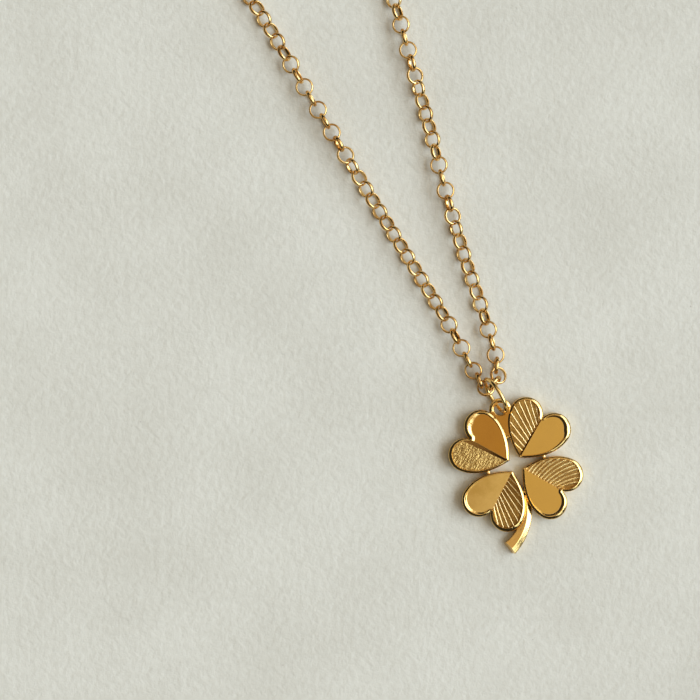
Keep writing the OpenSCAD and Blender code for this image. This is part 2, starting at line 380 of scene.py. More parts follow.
class Grain(Enum):
    """How a gold surface is worked."""

    POLISHED = "polished"
    SATIN = "satin"
    LINED = "lined"
    HATCHED = "hatched"


RELIEF_RANGE = {Grain.POLISHED: (0.3, 0.75), Grain.SATIN: (0.25, 0.75), Grain.LINED: (0.3, 0.7),
                Grain.HATCHED: (0.36, 0.64)}


@dataclass(frozen=True)
class GoldFinish:
    """Gold worked in one of four ways, with patches of a deeper tone. Lengths are in millimetres."""

    name: str
    grain: Grain = Grain.POLISHED
    tone: Colour = (0.92, 0.66, 0.27)
    deep: Colour = (0.78, 0.49, 0.15)
    rough: float = 0.08
    rough_spread: float = 0.03
    depth: float = 0.004
    size: float = 0.12
    patch_size: float = 2.2
    patch_range: Pair = (0.35, 0.68)
    streak_heading: float = 35.0
    streak_size: Row = (1.4, 0.05, 0.3)

    def pattern(self, tree: Tree, place: Signal) -> Signal:
        """Makes streaks on polished gold, grains on satin gold, and lines or cuts that follow the ribs.

        Args:
            tree: the material's nodes.
            place: the point in the object's coordinates.

        Returns:
            The pattern, not yet spread to its full range.
        """
        if self.grain is Grain.POLISHED:
            return tree.noise(place, np.array(self.streak_size) * MM, 3.0, 0.6, self.streak_heading)
        if self.grain is Grain.SATIN:
            return tree.noise(place, self.size * MM, 3.0, 0.7)
        along = tree.node("ShaderNodeAttribute", {"attribute_name": "grain"}, {}, "Vector")
        if self.grain is Grain.LINED:
            return tree.noise(along, (self.size, 12 * self.size, 1.0), 3.0, 0.6)
        long_cuts = tree.noise(along, (self.size, 4 * self.size, 1.0), 4.0, 0.65, 4)
        cross_cuts = tree.noise(along, (self.size, 3 * self.size, 1.0), 3.0, 0.6, 62)
        return long_cuts * 0.75 + cross_cuts * 0.25

    def build(self) -> Material:
        """Makes the material: patches and the low parts of the relief are deeper in tone.

        Returns:
            The material.
        """
        tree = Tree(self.name)
        place = tree.place()
        patches = tree.noise(place, self.patch_size * MM, 3.0, 0.6)
        tint = tree.levels(patches, *self.patch_range)
        relief = tree.levels(self.pattern(tree, place), *RELIEF_RANGE[self.grain])
        worn = 0.25 if self.grain is Grain.HATCHED else 0.6
        return tree.finish(
            Base_Color=tree.mix(tint * worn + (1 - relief) * (1 - worn), self.tone, self.deep),
            Metallic=1.0,
            Roughness=tree.levels(patches * 0.5 + relief * 0.5, 0.25, 0.75,
                                  self.rough - self.rough_spread, self.rough + self.rough_spread),
            Normal=tree.bump(relief, self.depth * MM))


@dataclass(frozen=True)
class PaperFinish:
    """Pale textured paper under the pendant. Lengths are in millimetres."""

    name: str = "pale_paper"
    light: Colour = (0.775, 0.765, 0.675)
    shade: Colour = (0.7, 0.685, 0.595)
    speck: Colour = (0.42, 0.38, 0.32)
    rough: float = 0.85
    wide_size: float = 14.0
    tooth_size: float = 0.9
    tooth_depth: float = 0.12
    speck_size: float = 0.8
    blend_range: Pair = (0.38, 0.62)
    speck_range: Pair = (0.80, 0.84)

    def build(self) -> Material:
        """Makes the material: wide clouds and a fine tooth blend two tones, with a few dark specks.

        Returns:
            The material.
        """
        tree = Tree(self.name)
        place = tree.place()
        wide = tree.noise(place, self.wide_size * MM, 3.0, 0.55)
        tooth = tree.noise(place, self.tooth_size * MM, 4.0, 0.6)
        specks = tree.levels(tree.noise(place, self.speck_size * MM, 1.0, 0.5), *self.speck_range, 0.0, 0.5)
        blend = tree.levels(wide * 0.55 + tooth * 0.45, *self.blend_range)
        paper = tree.mix(blend, self.light, self.shade)
        return tree.finish(Base_Color=tree.mix(specks, paper, self.speck), Roughness=self.rough,
                           Normal=tree.bump(tooth, self.tooth_depth * MM))


@dataclass(frozen=True)
class Place:
    """Turn of a part about the Z axis, and its centre."""

    turn: float
    centre: Array

    def put(self, points: Array, degrees: float = 0.0) -> Array:
        """Takes points to their place, from a frame turned by the given degrees within the part."""
        return turned(points, self.turn + degrees) + self.centre


@dataclass
class Heart:
    """Outline of one heart leaf in its own frame: X out along the mid line, Y across it."""

    tip: float = 0.95
    lobe_out: float = 6.1
    lobe_side: float = 2.0
    lobe_r: float = 2.1
    flank_angle: float = 63.0
    flank_end: float = 95.0
    pull_tip: float = 1.38
    pull_lobe: float = 0.88
    flank_steps: int = 34
    lobe_steps: int = 64
    notch_steps: int = 6
    search_steps: int = 400

    @property
    def notch_out(self) -> float:
        """Distance of the notch from the clover's centre."""
        return self.lobe_out + math.sqrt(self.lobe_r ** 2 - self.lobe_side ** 2)

    @property
    def notch_angle(self) -> float:
        """Direction of the notch from a lobe's centre."""
        return -math.degrees(math.atan2(self.lobe_side, self.notch_out - self.lobe_out))

    def flank(self, t: Array, inset: float) -> Array:
        """Point on the flank, a cubic Bezier curve, moved by the inset along its right-hand normal.

        Args:
            t: share of the way from the leaf's point to the lobe.
            inset: distance inwards.

        Returns:
            X and Y of each point.
        """
        end = self.lobe_r * circle(self.flank_end)
        p0 = np.array([self.tip, 0.0])
        p1 = p0 + self.pull_tip * self.lobe_r * circle(self.flank_angle)
        p3 = np.array([self.lobe_out, self.lobe_side]) + end
        p2 = p3 - self.pull_lobe * right(end)
        t = t[:, None]
        at = (1 - t) ** 3 * p0 + 3 * t * (1 - t) ** 2 * p1 + 3 * t ** 2 * (1 - t) * p2 + t ** 3 * p3
        way = (1 - t) ** 2 * (p1 - p0) + 2 * t * (1 - t) * (p2 - p1) + t ** 2 * (p3 - p2)
        return at + inset * unit(right(way))

    def edge(self, inset: float, fine: int = 1) -> Array:
        """Half outline from the leaf's point to the notch: flank, lobe arc, and an arc about the notch.

        Args:
            inset: distance inwards from the leaf's edge.
            fine: how many times more points than usual.

        Returns:
            X and Y of each point, as many for every inset.
        """
        dense = ramp(0, 0.5, self.search_steps)
        start = float(np.interp(0, self.flank(dense, inset)[:, 1], dense))
        flank = self.flank(ramp(start, 1, self.flank_steps * fine + 1)[:-1], inset)
        flank[0, 1] = 0
        lobe = ramp(self.flank_end, self.notch_angle, self.lobe_steps * fine + 1)
        notch = 180 + ramp(self.notch_angle, 0, self.notch_steps * fine + 1)[1:]
        return np.concatenate([
            flank,
            np.array([self.lobe_out, self.lobe_side]) + (self.lobe_r - inset) * circle(lobe),
            np.array([self.notch_out, 0.0]) + inset * circle(notch),
        ])

    def half_gap(self, degrees: float) -> float:
        """Half of the least gap between two leaves whose mid lines are twice the angle apart."""
        edge, way = self.edge(0), circle(degrees)
        return float((edge[:, 0] * way[1] - edge[:, 1] * way[0]).min())

    def reach(self, start: Array, degrees: float, inset: float) -> float:
        """Distance from a point along a ray to the edge: the least root of point + s ray = edge segment.

        Args:
            start: X and Y of the point.
            degrees: direction of the ray.
            inset: inset of the edge.

        Returns:
            The distance, infinite where the ray starts outside the edge and misses it.
        """
        edge, ray = self.edge(inset), circle(degrees)
        span, gap = edge[1:] - edge[:-1], edge[:-1] - start
        area = ray[0] * span[:, 1] - ray[1] * span[:, 0]
        area = np.where(np.abs(area) < TINY, TINY, area)
        s = (gap[:, 0] * span[:, 1] - gap[:, 1] * span[:, 0]) / area
        t = (gap[:, 0] * ray[1] - gap[:, 1] * ray[0]) / area
        return float(np.where((s > NEAR_MM) & (t >= 0) & (t <= 1), s, np.inf).min())


class Slot(IntEnum):
    """Material slots of a leaf."""

    RIM = 0
    SMOOTH = 1
    WORKED = 2
    # Ribs, in a paler gold that paints their highlight.
    RIB = 3
    # The wall along the crease, in a dark gold that paints shade there.
    CREASE_SHADE = 4


@dataclass(frozen=True)
class Cloud:
    """Smooth random values from -1 to 1: a lattice of random numbers, blended with t t (3 - 2 t)."""

    cell: Pair
    shift: Pair
    seed: int
    size: int = 64

    def at(self, points: Array) -> Array:
        """Works out the values, the lattice's first axis along Y and its second along X.

        Args:
            points: points in plan, X and Y in the last axis.

        Returns:
            One value for each point.
        """
        x, y = (points[..., 1 - k] / self.cell[k] + self.shift[k] for k in range(2))
        size = self.size
        lattice = np.random.default_rng(self.seed).uniform(-1, 1, (size, size))
        i, j = np.floor(x).astype(int), np.floor(y).astype(int)
        u, v = x - i, y - j
        u, v = u * u * (3 - 2 * u), v * v * (3 - 2 * v)
        a, b = lattice[i % size, j % size], lattice[(i + 1) % size, j % size]
        c, d = lattice[i % size, (j + 1) % size], lattice[(i + 1) % size, (j + 1) % size]
        return (a * (1 - u) + b * u) * (1 - v) + (c * (1 - u) + d * u) * v


@dataclass(frozen=True)
class Hatch:
    """Rough hatch of a leaf: long cuts across it, and finer ones aslant."""

    heading: float = -85.0
    slant: float = 28.0
    cuts: Cloud = Cloud((0.13, 0.45), (20, 20), 4)
    cross: Cloud = Cloud((0.09, 0.12), (9, 31), 9)
    cross_share: float = 0.4
    height: float = 0.028
    row_gain: float = 0.35
    fade_width: float = 0.1
    fine: int = 3

    def relief(self, x: Array, y: Array) -> Array:
        """Blends both clouds and sharpens them by a square root.

        Args:
            x: distance along the leaf.
            y: distance across it.

        Returns:
            Height of the hatch.
        """
        along = turned(np.stack([x, y], axis=-1), self.heading)
        cross = self.cross.at(turned(along, self.slant))
        rough = (1 - self.cross_share) * self.cuts.at(along) + self.cross_share * cross
        return self.height * np.sign(rough) * np.sqrt(np.abs(rough))


@dataclass(frozen=True)
class Rim:
    """Rim of one half of a leaf, and how the half meets the mid line.

    The slope and the bevel have widths at five places from the flank to the notch. They run towards the
    edge at an inset, shifted far towards the leaf's point. The recess ends at the seam, and below it the
    half runs past the mid line by the lap.
    """

    slopes: Row = (0.28, 0.36, 0.44, 0.44, 0.3)
    bevels: Row = (0.1, 0.2, 0.35, 0.4, 0.2)
    inset: float = 0.5
    far: float = 0.2
    seam: float = 0.03
    lap: float = 0.0


def thin_rim(*slopes: float) -> Rim:
    """Gives the rim of a worked half, with the given widths of its outer slope."""
    return Rim(slopes, (0.06, 0.08, 0.1, 0.1, 0.08), 0.24, 0.0, -0.01, 0.04)


@dataclass
class Leaf:
    """One heart leaf: a smooth half inside a wide rim, and a worked half that slopes to the crease."""

    name: str
    turn: float
    first_angle: float
    last_angle: float
    ribs: int
    smooth_finish: GoldFinish
    worked_finish: GoldFinish
    # Paler, less saturated gold on the ribs: a painted highlight.
    rib_highlight_finish: GoldFinish
    # Dark gold on the wall that slopes down from the crease: painted shade along the crease.
    crease_shade_finish: GoldFinish = GoldFinish(
        "leaf_crease_painted_shade_gold", Grain.SATIN, (0.40, 0.23, 0.07), (0.28, 0.15, 0.04), 0.25, 0.05, 0.002)
    heart: Heart = field(default_factory=Heart)
    hatch: Hatch = Hatch()
    crest: float = 1.5
    smooth_rim: Rim = Rim()
    worked_rim: Rim = thin_rim(0.26, 0.34, 0.44, 0.36, 0.28)
    rim_places: Row = (0.5, 1.0, 1.25, 1.6, 2.0)
    base: tuple[Pair, ...] = ((0.3, 0.0), (0.08, 0.03), (0.0, 0.14))
    wall_middle: Pair = (0.4, 0.07)
    shoulder: tuple[Pair, ...] = ((0, 0.95), (0.03, 0.72), (0.08, 0.58), (0.2, 0.44), (0.4, 0.31),
                                  (0.6, 0.19), (0.8, 0.08), (0.92, 0.02), (1, 0))
    bevel: tuple[Pair, ...] = ((0.06, 0.015), (0.14, 0.07), (0.24, 0.18), (0.42, 0.4), (0.6, 0.62),
                               (0.76, 0.82), (0.88, 0.94), (1, 1))
    crease_wall: Pair = (0.1, 0.24)
    crease_split: float = 0.4
    crease_round: float = 0.04
    crease_drop: float = 0.02
    face: float = 1.28
    dome: float = 0.02
    dome_middle: Pair = (4.9, 2.0)
    dome_half: Pair = (3.6, 2.4)
    floor_crease: float = 0.95
    floor_rim: float = 1.22
    rib_width: float = 0.16
    rib_height: float = 0.07
    rib_end: float = 0.3
    rib_room: Pair = (0.9, 0.3)
    least_rib: float = 0.4
    rib_bend: float = 0.0
    rib_span: float = 4.0
    rib_start: float = 0.01
    rib_rows: int = 14
    rib_sides: int = 12
    face_rows: int = 20
    crease_steps: int = 44
    end_steps: int = 4
    end_step: float = 0.02
    grain_passes: int = 3
    centre: Pair = (5.0, 1.7)

    def smooth_floor(self, x: Array, y: Array) -> Array:
        """Height of the smooth half: its face, raised by a shallow dome 1 - u u - v v."""
        u, v = ((a - m) / h for a, m, h in zip((x, y), self.dome_middle, self.dome_half))
        return self.face + self.dome * (1 - u * u - v * v)

    def plane(self, y: Array) -> Array:
        """Height of the plane that the worked half's floor lies in: it rises from the crease to the rim."""
        width = self.heart.lobe_side + self.heart.lobe_r - self.worked_rim.inset
        return self.floor_crease + (self.floor_rim - self.floor_crease) * y / width

    def wall(self, x: Array) -> Array:
        """Width of the sloping wall along the crease, wider towards the notch."""
        return np.interp(x, [self.heart.tip, self.heart.notch_out], self.crease_wall)

    def worked_floor(self, x: Array, y: Array) -> Array:
        """Height of the worked half: its plane, and a wall that slopes down to it from the crease."""
        rise = self.face - self.floor_crease - self.crease_drop
        return self.plane(y) + rise * np.clip(1 - y / self.wall(x), 0, 1)

    def half(self, rim: Rim, floor: Floor, fine: int = 1) -> tuple[Array, int]:
        """Closed surface of one half of the leaf, as rows from its back to the middle of its face.

        Each column starts at a point of the half's edge and runs up the wall, up the rim's outer slope
        and down its bevel to the recess. The columns are numbered 0 to 1 along the flank and 1 to 2
        round the lobe. Along the crease the rim is as high as the floor.

        Args:
            rim: the half's rim.
            floor: height of the recess.
            fine: how many times more points than usual.

        Returns:
            The rows of points, and the number of the first row of the recess.
        """
        heart, seam = self.heart, rim.seam
        outer, inner = heart.edge(0, fine), heart.edge(rim.inset, fine)
        inner[:, 0] -= rim.far
        flank, lobe = heart.flank_steps * fine, heart.lobe_steps * fine + 1
        station = np.concatenate([ramp(0, 1, flank), ramp(1, 2, lobe),
                                  np.full(len(outer) - flank - lobe, 2.0)])
        slope = np.interp(station, self.rim_places, rim.slopes)
        width = slope + np.interp(station, self.rim_places, rim.bevels)
        ways = inner - outer
        inner = outer + ways * (width / np.linalg.norm(ways, axis=1))[:, None]
        inner[:, 1] = np.maximum(inner[:, 1], seam)
        low, high, step = inner[0, 0], inner[-1, 0], self.end_step
        xs = np.concatenate([
            ramp(heart.notch_out, high + step, self.end_steps)[1:],
            ramp(high - step, low + step, self.crease_steps * fine),
            ramp(low - step, heart.tip, self.end_steps)[:-1],
        ])
        at_rim = (xs > high) | (xs < low)
        outer = np.concatenate([outer, np.stack([xs, np.where(at_rim, 0, -rim.lap)], axis=1)])
        inner = np.concatenate([inner, np.stack([np.clip(xs, low, high), np.full(xs.shape, seam)], axis=1)])
        edge = len(outer) - len(xs)
        crest = np.full(len(outer), self.crest)
        crest[edge:] = np.where(at_rim, self.crest, floor(xs, 0 * xs))
        split = np.concatenate([slope / width, np.full(len(xs), self.crease_split)])
        rounding = np.concatenate([slope, np.where(at_rim, 0, self.crease_round)])
        rounding[[0, edge - 1]] = 0
        across = inner - outer

        def row(share: float | Array, height: Array | float) -> Array:
            """Points at a share of the way over the rim, at a height."""
            return lift(outer + across * np.reshape(share, (-1, 1)), height)

        rows = [row(share, height) for share, height in self.base]
        rows.append(row(0.0, self.wall_middle[0] * crest + self.wall_middle[1]))
        for share, drop in self.shoulder:
            rows.append(row(split * share, crest - rounding * drop))
        base = floor(inner[:, 0], inner[:, 1])
        for share, fall in self.bevel:
            rows.append(row(split + (1 - split) * share, crest + (base - crest) * fall))
        face = len(rows) - 1
        last, middle = rows[-1][:, :2], np.array(self.centre)
        for share in ramp(0, 1, self.face_rows * fine)[1:-1]:
            plan = last + (middle - last) * share
            rows.append(lift(plan, floor(plan[:, 0], plan[:, 1])))
        rows[face][:, 2] = floor(last[:, 0], last[:, 1])
        return np.stack(rows), face

    @property
    def rib_feet(self) -> Pair:
        """Where the first and the last rib leave the crease."""
        return self.heart.tip + self.rib_room[0], self.heart.notch_out - self.rib_room[1]

    def rib_angle(self, share: Array | float) -> Array:
        """Direction of the rib at a share of the way from the first to the last, held at both."""
        return self.first_angle + (self.last_angle - self.first_angle) * np.clip(share, 0, 1)

    def grain(self, grid: Array) -> Array:
        """Follows the ribs with a pattern: x - y / tan(rib angle) - bow, and y.

        Args:
            grid: points in the leaf's frame.

        Returns:
            Where the points lie in the pattern.
        """
        x, y = grid[..., 0], grid[..., 1]
        s = np.clip(y / self.rib_span, 0, 1)
        low, high = self.rib_feet
        foot = x
        for _ in range(self.grain_passes):
            angle = np.radians(self.rib_angle((foot - low) / (high - low)))
            bow = self.rib_span * self.rib_bend * s * (1 - s) / np.sin(angle) ** 2
            foot = x - y / np.tan(angle) - bow
        return np.stack([foot, y, 0 * x], axis=-1)

    def rib(self, foot: float, degrees: float) -> Array | None:
        """Surface of one rib: an ellipse carried along foot + length (s way + bend s (1 - s) side).

        Args:
            foot: where the rib leaves the crease.
            degrees: its direction.

        Returns:
            Rows of points, one for each section, or nothing where the rim leaves no room for a rib.
        """
        start = np.array([foot, 0.0])
        length = self.heart.reach(start, degrees, self.rib_end)
        if not self.least_rib < length < math.inf:
            return None
        way = circle(degrees)
        s = ramp(self.rib_start, 1, self.rib_rows)[:, None]
        path = start + length * (s * way + self.rib_bend * s * (1 - s) * right(way))
        normal = right(unit(np.gradient(path, axis=0)))
        section = polygon(self.rib_sides)
        plan = path[:, None] + 0.5 * self.rib_width * section[None, :, :1] * normal[:, None]
        return lift(plan, self.plane(path[:, 1])[:, None] + self.rib_height * section[None, :, 1])

    def build(self, place: Place, polished: Material) -> Piece:
        """Makes the leaf.

        Args:
            place: turn and centre of the clover.
            polished: material of the rims.

        Returns:
            The leaf's object.
        """
        shell = Shell()
        grid, face = self.half(self.smooth_rim, self.smooth_floor)
        slots = np.where(np.arange(len(grid) - 1) >= face, Slot.SMOOTH, Slot.RIM)[:, None]
        shell.add(place.put(grid * [1, -1, 1], self.turn), slots, grain=self.grain(grid))
        hatched = self.worked_finish.grain is Grain.HATCHED
        grid, face = self.half(self.worked_rim, self.worked_floor, self.hatch.fine if hatched else 1)
        x, y = grid[..., 0], grid[..., 1]
        if hatched:
            inside = grid[face + 1:]
            fade = np.minimum(1, self.hatch.row_gain * np.arange(1, len(inside) + 1))[:, None]
            fade = fade * np.clip((y - self.wall(x))[face + 1:] / self.hatch.fade_width, 0, 1)
            inside[..., 2] += fade * self.hatch.relief(inside[..., 0], inside[..., 1])
        # The wall along the crease takes the dark crease gold, painted shade; the rest of the worked half
        # takes its own finish.
        slots = np.where(y[:-1] > self.wall(x[:-1]), Slot.WORKED, Slot.CREASE_SHADE)
        slots[:face] = Slot.RIM
        shell.add(place.put(grid, self.turn), slots, grain=self.grain(grid))
        for share in ramp(0, 1, self.ribs):
            bar = self.rib(float(np.interp(share, (0, 1), self.rib_feet)), float(self.rib_angle(share)))
            if bar is not None:
                shell.add(place.put(bar, self.turn), Slot.RIB, grain=self.grain(bar))
        # The rib finish paints a highlight on the ribs; the crease finish paints shade on the wall along the
        # crease.
        finishes = [self.smooth_finish, self.worked_finish, self.rib_highlight_finish, self.crease_shade_finish]
        return shell.build(self.name, [polished, *(finish.build() for finish in finishes)])


@dataclass
class Eye:
    """Flat ring that the jump ring passes through, on a web between the two upper leaves."""

    out: float = 7.15
    hole_r: float = 0.75
    band: float = 0.62
    thick: float = 0.35
    low: float = 0.97
    shoulder: Pair = (0.84, 5.673)
    root_out: float = 3.6
    edge_round: float = 0.16
    crown: float = 0.09
    arc_points: int = 33
    side_points: int = 13
    foot_points: int = 5
    edge_rows: int = 9
    web_rows: int = 2
    sharp: float = 60

    def build(self, root_half: float, place: Place, finish: Material, web: Material) -> Piece:
        """Makes the eye and its web, one plate with a hole.

        Each column runs round the plate's section, from the hole to the plate's edge and back below.
        The edge is the ring's outer circle above and the web's outline below.

        Args:
            root_half: half width of the web where it leaves the clover.
            place: turn and centre of the clover.
            finish: material of the eye.
            web: material of the web's face.

        Returns:
            The plate's object.
        """
        reach = self.hole_r + self.band
        middle = np.array([0, self.out])
        ring = middle + reach * circle(ramp(0, 180, self.arc_points))
        side = np.array([[-reach, self.out], [-self.shoulder[0], self.shoulder[1]],
                         [-root_half, self.root_out]])
        steps = ramp(0, 1, self.side_points)[1:, None]
        left = np.concatenate([side[i] + (side[i + 1] - side[i]) * steps for i in range(2)])
        across = ramp(-root_half, root_half, self.foot_points)[1:-1]
        foot = np.stack([across, np.full(len(across), self.root_out)], axis=1)
        outer = np.concatenate([ring, left, foot, left[::-1] * [-1, 1]])
        towards = unit(outer - middle)
        inner = self.hole_r * towards + middle
        r, top = self.edge_round, self.low + self.thick
        rows = []
        for edge, sign in ((inner, 1.0), (outer, -1.0)):
            for cos, sin in circle(ramp(-90 * sign, 90 * sign, self.edge_rows)):
                z = (top - r if sin > 0 else self.low + r) + r * sin
                rows.append(lift(edge + sign * r * (1 - cos) * towards, z))
        between = 0.5 * (inner + outer)
        rows.insert(self.edge_rows, lift(between, top + self.crown * (np.arange(len(outer)) < len(ring))))
        rows.append(lift(between, self.low))
        grid = place.put(np.stack(rows))
        slots = np.zeros(grid.shape[:2], int)
        slots[self.edge_rows - self.web_rows:self.edge_rows + self.web_rows, len(ring):] = 1
        shell = Shell()
        shell.add(grid, slots, ring=True)
        return shell.build("eye_and_web", [finish, web], self.sharp)


@dataclass
class Beads:
    """Small domed beads that join neighbouring leaves. Shares are of a bead's radius."""

    out: float = 3.6
    grip: float = 0.09
    height: float = 1.02
    dome_share: float = 0.6
    dome_end: float = 84
    dome_rows: int = 8
    foot_shares: Pair = (0.8, 1.0)
    foot_heights: Pair = (0.05, 0.12)
    sides: int = 24

    def build(self, heart: Heart, leaves: Sequence[Leaf], place: Place,
              finish: Material) -> tuple[Piece, float]:
        """Makes the beads, each a cylinder under a dome turned about its axis.

        Args:
            heart: outline of the leaves.
            leaves: the leaves in order.
            place: turn and centre of the clover.
            finish: their material.

        Returns:
            The beads' object, and the radius of the bead between the two upper leaves.
        """
        shell, turns = Shell(), [leaf.turn for leaf in leaves]
        turns.append(turns[0] + 360)
        dome = circle(ramp(0, self.dome_end, self.dome_rows))
        radii = []
        for low, high in zip(turns[:-1], turns[1:]):
            radius = heart.half_gap((high - low) / 2) + self.grip
            radii.append(radius)
            radial = radius * np.concatenate([self.foot_shares, dome[:, 0]])
            height = np.concatenate([self.foot_heights,
                                     self.height - self.dome_share * radius * (1 - dome[:, 1])])
            bead = spun(radial, height, self.sides).swapaxes(0, 1)
            bead[..., :2] += turned(np.array([self.out, 0.0]), (low + high) / 2)
            shell.add(place.put(bead))
        return shell.build("joining_beads", [finish]), radii[0]


@dataclass
class Stem:
    """Ridged bar that bends away from the clover and widens to a square cut end."""

    bend_r: float = 6.5
    arc: float = 65.0
    root: float = 4.05
    root_size: Pair = (0.9, 0.95)
    end_size: Pair = (1.95, 1.35)
    cut: float = 0.35
    cut_from: float = 0.9
    end_shares: Pair = (0.985, 0.995)
    end_shrink: float = 0.94
    end_middle: float = 0.45
    rows: int = 40
    shares: Row = (0, 0.2, 0.4, 0.6, 0.8, 1)
    widths: Row = (0, 0.3, 0.5, 0.58, 0.78, 1)
    heights: Row = (0, 0.2, 0.45, 0.7, 0.9, 1)
    corners: tuple[Pair, ...] = ((-0.85, 0), (0.85, 0), (1, 0.68), (0.1, 1), (-1, 0.74))
    corner_cut: float = 0.1
    corner_steps: int = 4
    sharp: float = 30

    def build(self, place: Place, finish: Material) -> Piece:
        """Makes the stem: a section of five corners, each cut by a quadratic curve, carried along an arc.

        Args:
            place: turn and centre of the clover.
            finish: its material.

        Returns:
            The stem's object.
        """
        share = np.concatenate([ramp(0, self.end_shares[0], self.rows), [self.end_shares[1], 1.0]])
        shrink = np.where(share == 1.0, self.end_shrink, 1.0)[:, None]
        width, height = (
            (root + (end - root) * np.interp(share, self.shares, growth))[:, None]
            for root, end, growth in zip(self.root_size, self.end_size, (self.widths, self.heights)))
        corner = np.array(self.corners)
        before, after = np.roll(corner, 1, axis=0) - corner, np.roll(corner, -1, axis=0) - corner
        section = [corner + 2 * self.corner_cut * before]
        for t in ramp(0, 1, self.corner_steps):
            section.append(corner + self.corner_cut * ((1 - t) ** 2 * before + t ** 2 * after))
        section.append(corner + 2 * self.corner_cut * after)
        section = np.stack(section, axis=1).reshape(-1, 2)
        side = circle(self.arc * share) * [1, -1]
        way = right(side)
        line = self.bend_r * (side - [1, 0]) - [0, self.root]
        across = section[None, :, 0] * width / 2 * shrink
        back = self.cut * section[None, :, 1] * np.clip(
            (share[:, None] - self.cut_from) / (1 - self.cut_from), 0, 1)
        plan = line[:, None] + across[..., None] * side[:, None] - back[..., None] * way[:, None]
        middle = self.end_middle * height
        rise = middle + (section[None, :, 1] * height - middle) * shrink
        shell = Shell()
        shell.add(place.put(lift(plan, np.maximum(rise, 0.0))))
        return shell.build("stem", [finish], self.sharp)


@dataclass
class Clover:
    """The pendant: four leaves, the beads between them, the eye and the stem."""

    turn: float = 16.0
    mount: str = "leaf_back"
    mount_reach: Pair = (2.48, 4.34)
    heart: Heart = field(default_factory=Heart)

    def leaves(self) -> list[Leaf]:
        """Describes the leaves.

        Returns:
            The four leaves, anticlockwise from the upper right one.
        """
        satin, ribbed = Grain.SATIN, Grain.LINED
        # The two rib golds are paler and less saturated than the polished gold: they paint a highlight on the
        # ribs.
        flat, dusky, soft, lined, hatched, rib_highlight, fan, fan_rib_highlight = (
            GoldFinish(f"leaf_{name}_gold", *values) for name, *values in (
                ("flat", satin, (0.80, 0.52, 0.13), (0.75, 0.48, 0.12), 0.24, 0.03, 0.001),
                ("dusky", satin, (0.59, 0.30, 0.055), (0.53, 0.26, 0.045), 0.24, 0.03, 0.001),
                ("satin", satin, (0.76, 0.52, 0.17), (0.56, 0.34, 0.08), 0.36, 0.06),
                ("lined", ribbed, (0.34, 0.19, 0.045), (0.17, 0.08, 0.014), 0.32, 0.08, 0.012, 0.035),
                ("hatched", Grain.HATCHED, (0.74, 0.51, 0.18), (0.19, 0.10, 0.02), 0.16, 0.06, 0.015, 0.05),
                ("rib", Grain.POLISHED, (1.0, 0.83, 0.46), (0.84, 0.60, 0.26), 0.2, 0.06),
                ("fan", ribbed, (0.54, 0.33, 0.1), (0.28, 0.15, 0.035), 0.30, 0.08, 0.012, 0.035),
                ("fan_rib_painted_highlight", ribbed, (1.0, 0.80, 0.38), (0.74, 0.47, 0.15), 0.2, 0.08, 0.02, 0.035)))
        return [
            Leaf("leaf_upper_right", 44.3, 76, 38, 10, flat, lined, rib_highlight,
                 smooth_rim=Rim((0.28, 0.4, 0.5, 0.3, 0.25), (0.06, 0.25, 0.6, 0.3, 0.15)),
                 worked_rim=thin_rim(0.25, 0.3, 0.34, 0.4, 0.4)),
            Leaf("leaf_upper_left", 135.3, 95, 58, 0, dusky, hatched, rib_highlight,
                 smooth_rim=Rim((0.38, 0.36, 0.3, 0.36, 0.44), (0.06, 0.14, 0.3, 0.75, 0.35)),
                 face=1.36, floor_crease=1.21, crease_wall=(0.25, 0.6)),
            Leaf("leaf_lower_left", 226.0, 74, 37, 10, soft, lined, rib_highlight, dome=0.07,
                 smooth_rim=Rim((0.2, 0.28, 0.32, 0.36, 0.28), (0.08, 0.16, 0.32, 0.42, 0.14)),
                 worked_rim=thin_rim(0.3, 0.42, 0.55, 0.42, 0.3), crease_wall=(0.06, 0.1)),
            Leaf("leaf_lower_right", 314.1, 79, 44, 12, flat, fan, fan_rib_highlight, rib_bend=-0.26,
                 rib_width=0.3, rib_height=0.1, smooth_rim=Rim(bevels=(0.04, 0.2, 0.36, 0.46, 0.3)),
                 crease_wall=(0.04, 0.08)),
        ]

    def build(self) -> list[Piece]:
        """Makes every piece of the clover.

        Returns:
            The pieces.
        """
        mounts = {m["name"]: m for m in frame["record"]["mounts"]}
        back = np.array(mounts[self.mount]["pos_m"][:2]) / MM
        place = Place(self.turn, np.append(back - np.array(self.mount_reach), 0.0))
        polished = GoldFinish("polished_gold").build()
        leaves = self.leaves()
        pieces = [leaf.build(place, polished) for leaf in leaves]
        # The beads take the upper right leaf's rib gold, so they get the same painted highlight.
        beads, root_half = Beads().build(self.heart, leaves, place, leaves[0].rib_highlight_finish.build())
        pieces.append(beads)
        pieces.append(Eye().build(root_half, place, polished, leaves[1].smooth_finish.build()))
        pieces.append(Stem().build(place, polished))
        for piece in pieces:
            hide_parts("clover")
        return pieces


